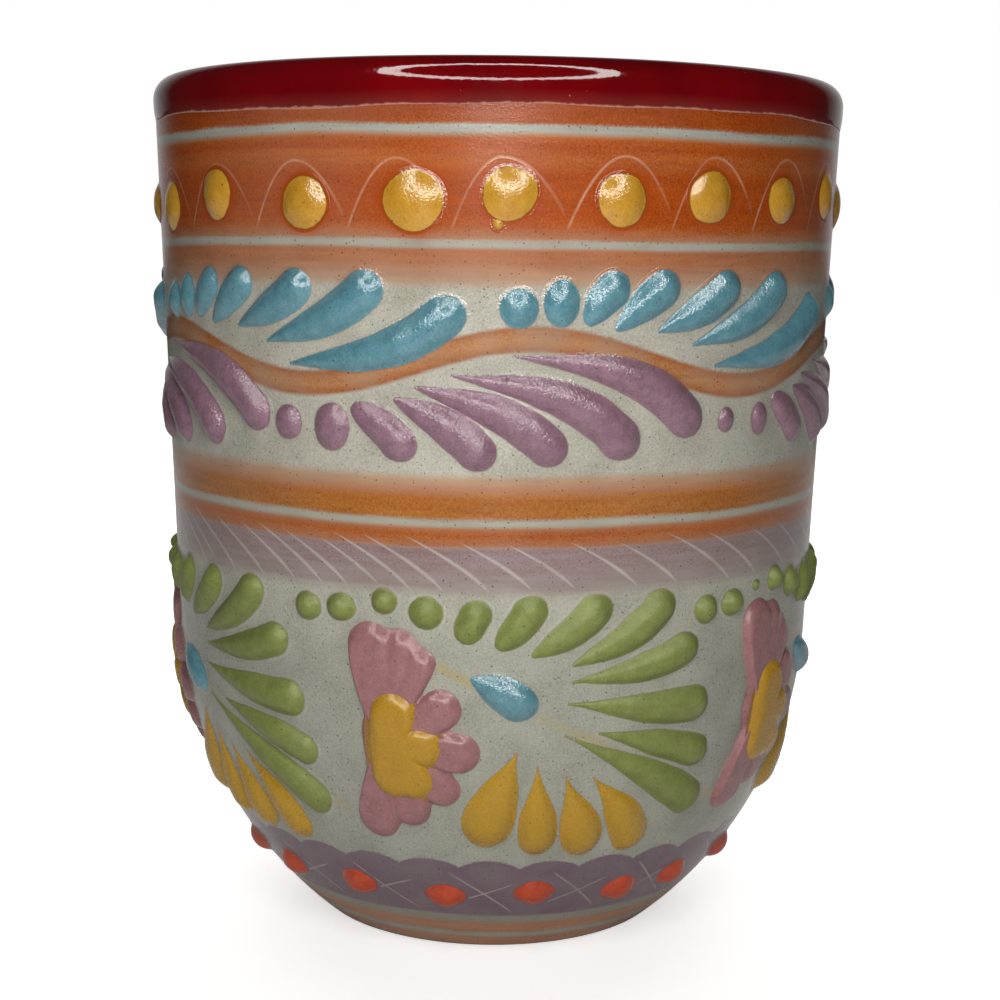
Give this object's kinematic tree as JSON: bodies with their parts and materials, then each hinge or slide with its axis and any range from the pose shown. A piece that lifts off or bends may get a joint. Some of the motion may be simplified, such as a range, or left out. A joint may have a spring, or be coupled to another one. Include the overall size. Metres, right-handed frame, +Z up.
{
  "type": "ceramic tumbler",
  "caption": "Handleless ceramic tumbler with a round belly, a slightly flaring wall, a glazed lip and raised slip ornament; holds a drink.",
  "frame": {"origin": "middle of the foot, on the surface that the cup stands on", "axes": "+Z up along the axis of the cup; -Y is the front that the picture shows"},
  "size_m": [0.0886, 0.0894, 0.107],
  "materials": {
    "painted_stoneware": "semi-gloss clear glaze over speckled clay with brushed bands",
    "liner_glaze": "smooth glossy glaze",
    "red_glaze": "deep glossy glaze",
    "yellow_slip": "raised slip under a glossy glaze",
    "blue_slip": "raised slip under a satin glaze",
    "violet_slip": "raised slip under a satin glaze",
    "green_slip": "raised slip under a satin glaze",
    "ochre_slip": "raised slip under a satin glaze",
    "pink_slip": "raised slip under a satin glaze",
    "red_slip": "raised slip under a satin glaze"
  },
  "bodies": {
    "root": {"body": "painted_stoneware", "liner_glaze": "liner_glaze", "rim_glaze": "red_glaze", "yellow_dots": "yellow_slip", "red_dots": "red_slip", "blue_feathers_1": "blue_slip", "blue_feathers_2": "blue_slip", "blue_feathers_3": "blue_slip", "blue_feathers_4": "blue_slip", "blue_feathers_5": "blue_slip", "violet_feathers_1": "violet_slip", "violet_feathers_2": "violet_slip", "violet_feathers_3": "violet_slip", "violet_feathers_4": "violet_slip", "violet_feathers_5": "violet_slip", "green_leaves_1": "green_slip", "green_leaves_2": "green_slip", "green_leaves_3": "green_slip", "green_leaves_4": "green_slip", "green_leaves_5": "green_slip", "blue_drop_1": "blue_slip", "blue_drop_2": "blue_slip", "blue_drop_3": "blue_slip", "blue_drop_4": "blue_slip", "blue_drop_5": "blue_slip", "yellow_petals_1": "ochre_slip", "yellow_petals_2": "ochre_slip", "yellow_petals_3": "ochre_slip", "yellow_petals_4": "ochre_slip", "yellow_petals_5": "ochre_slip", "pink_flower_1": "pink_slip", "pink_flower_2": "pink_slip", "pink_flower_3": "pink_slip", "pink_flower_4": "pink_slip", "pink_flower_5": "pink_slip", "flower_heart_1": "ochre_slip", "flower_heart_2": "ochre_slip", "flower_heart_3": "ochre_slip", "flower_heart_4": "ochre_slip", "flower_heart_5": "ochre_slip"}
  },
  "joints": []
}
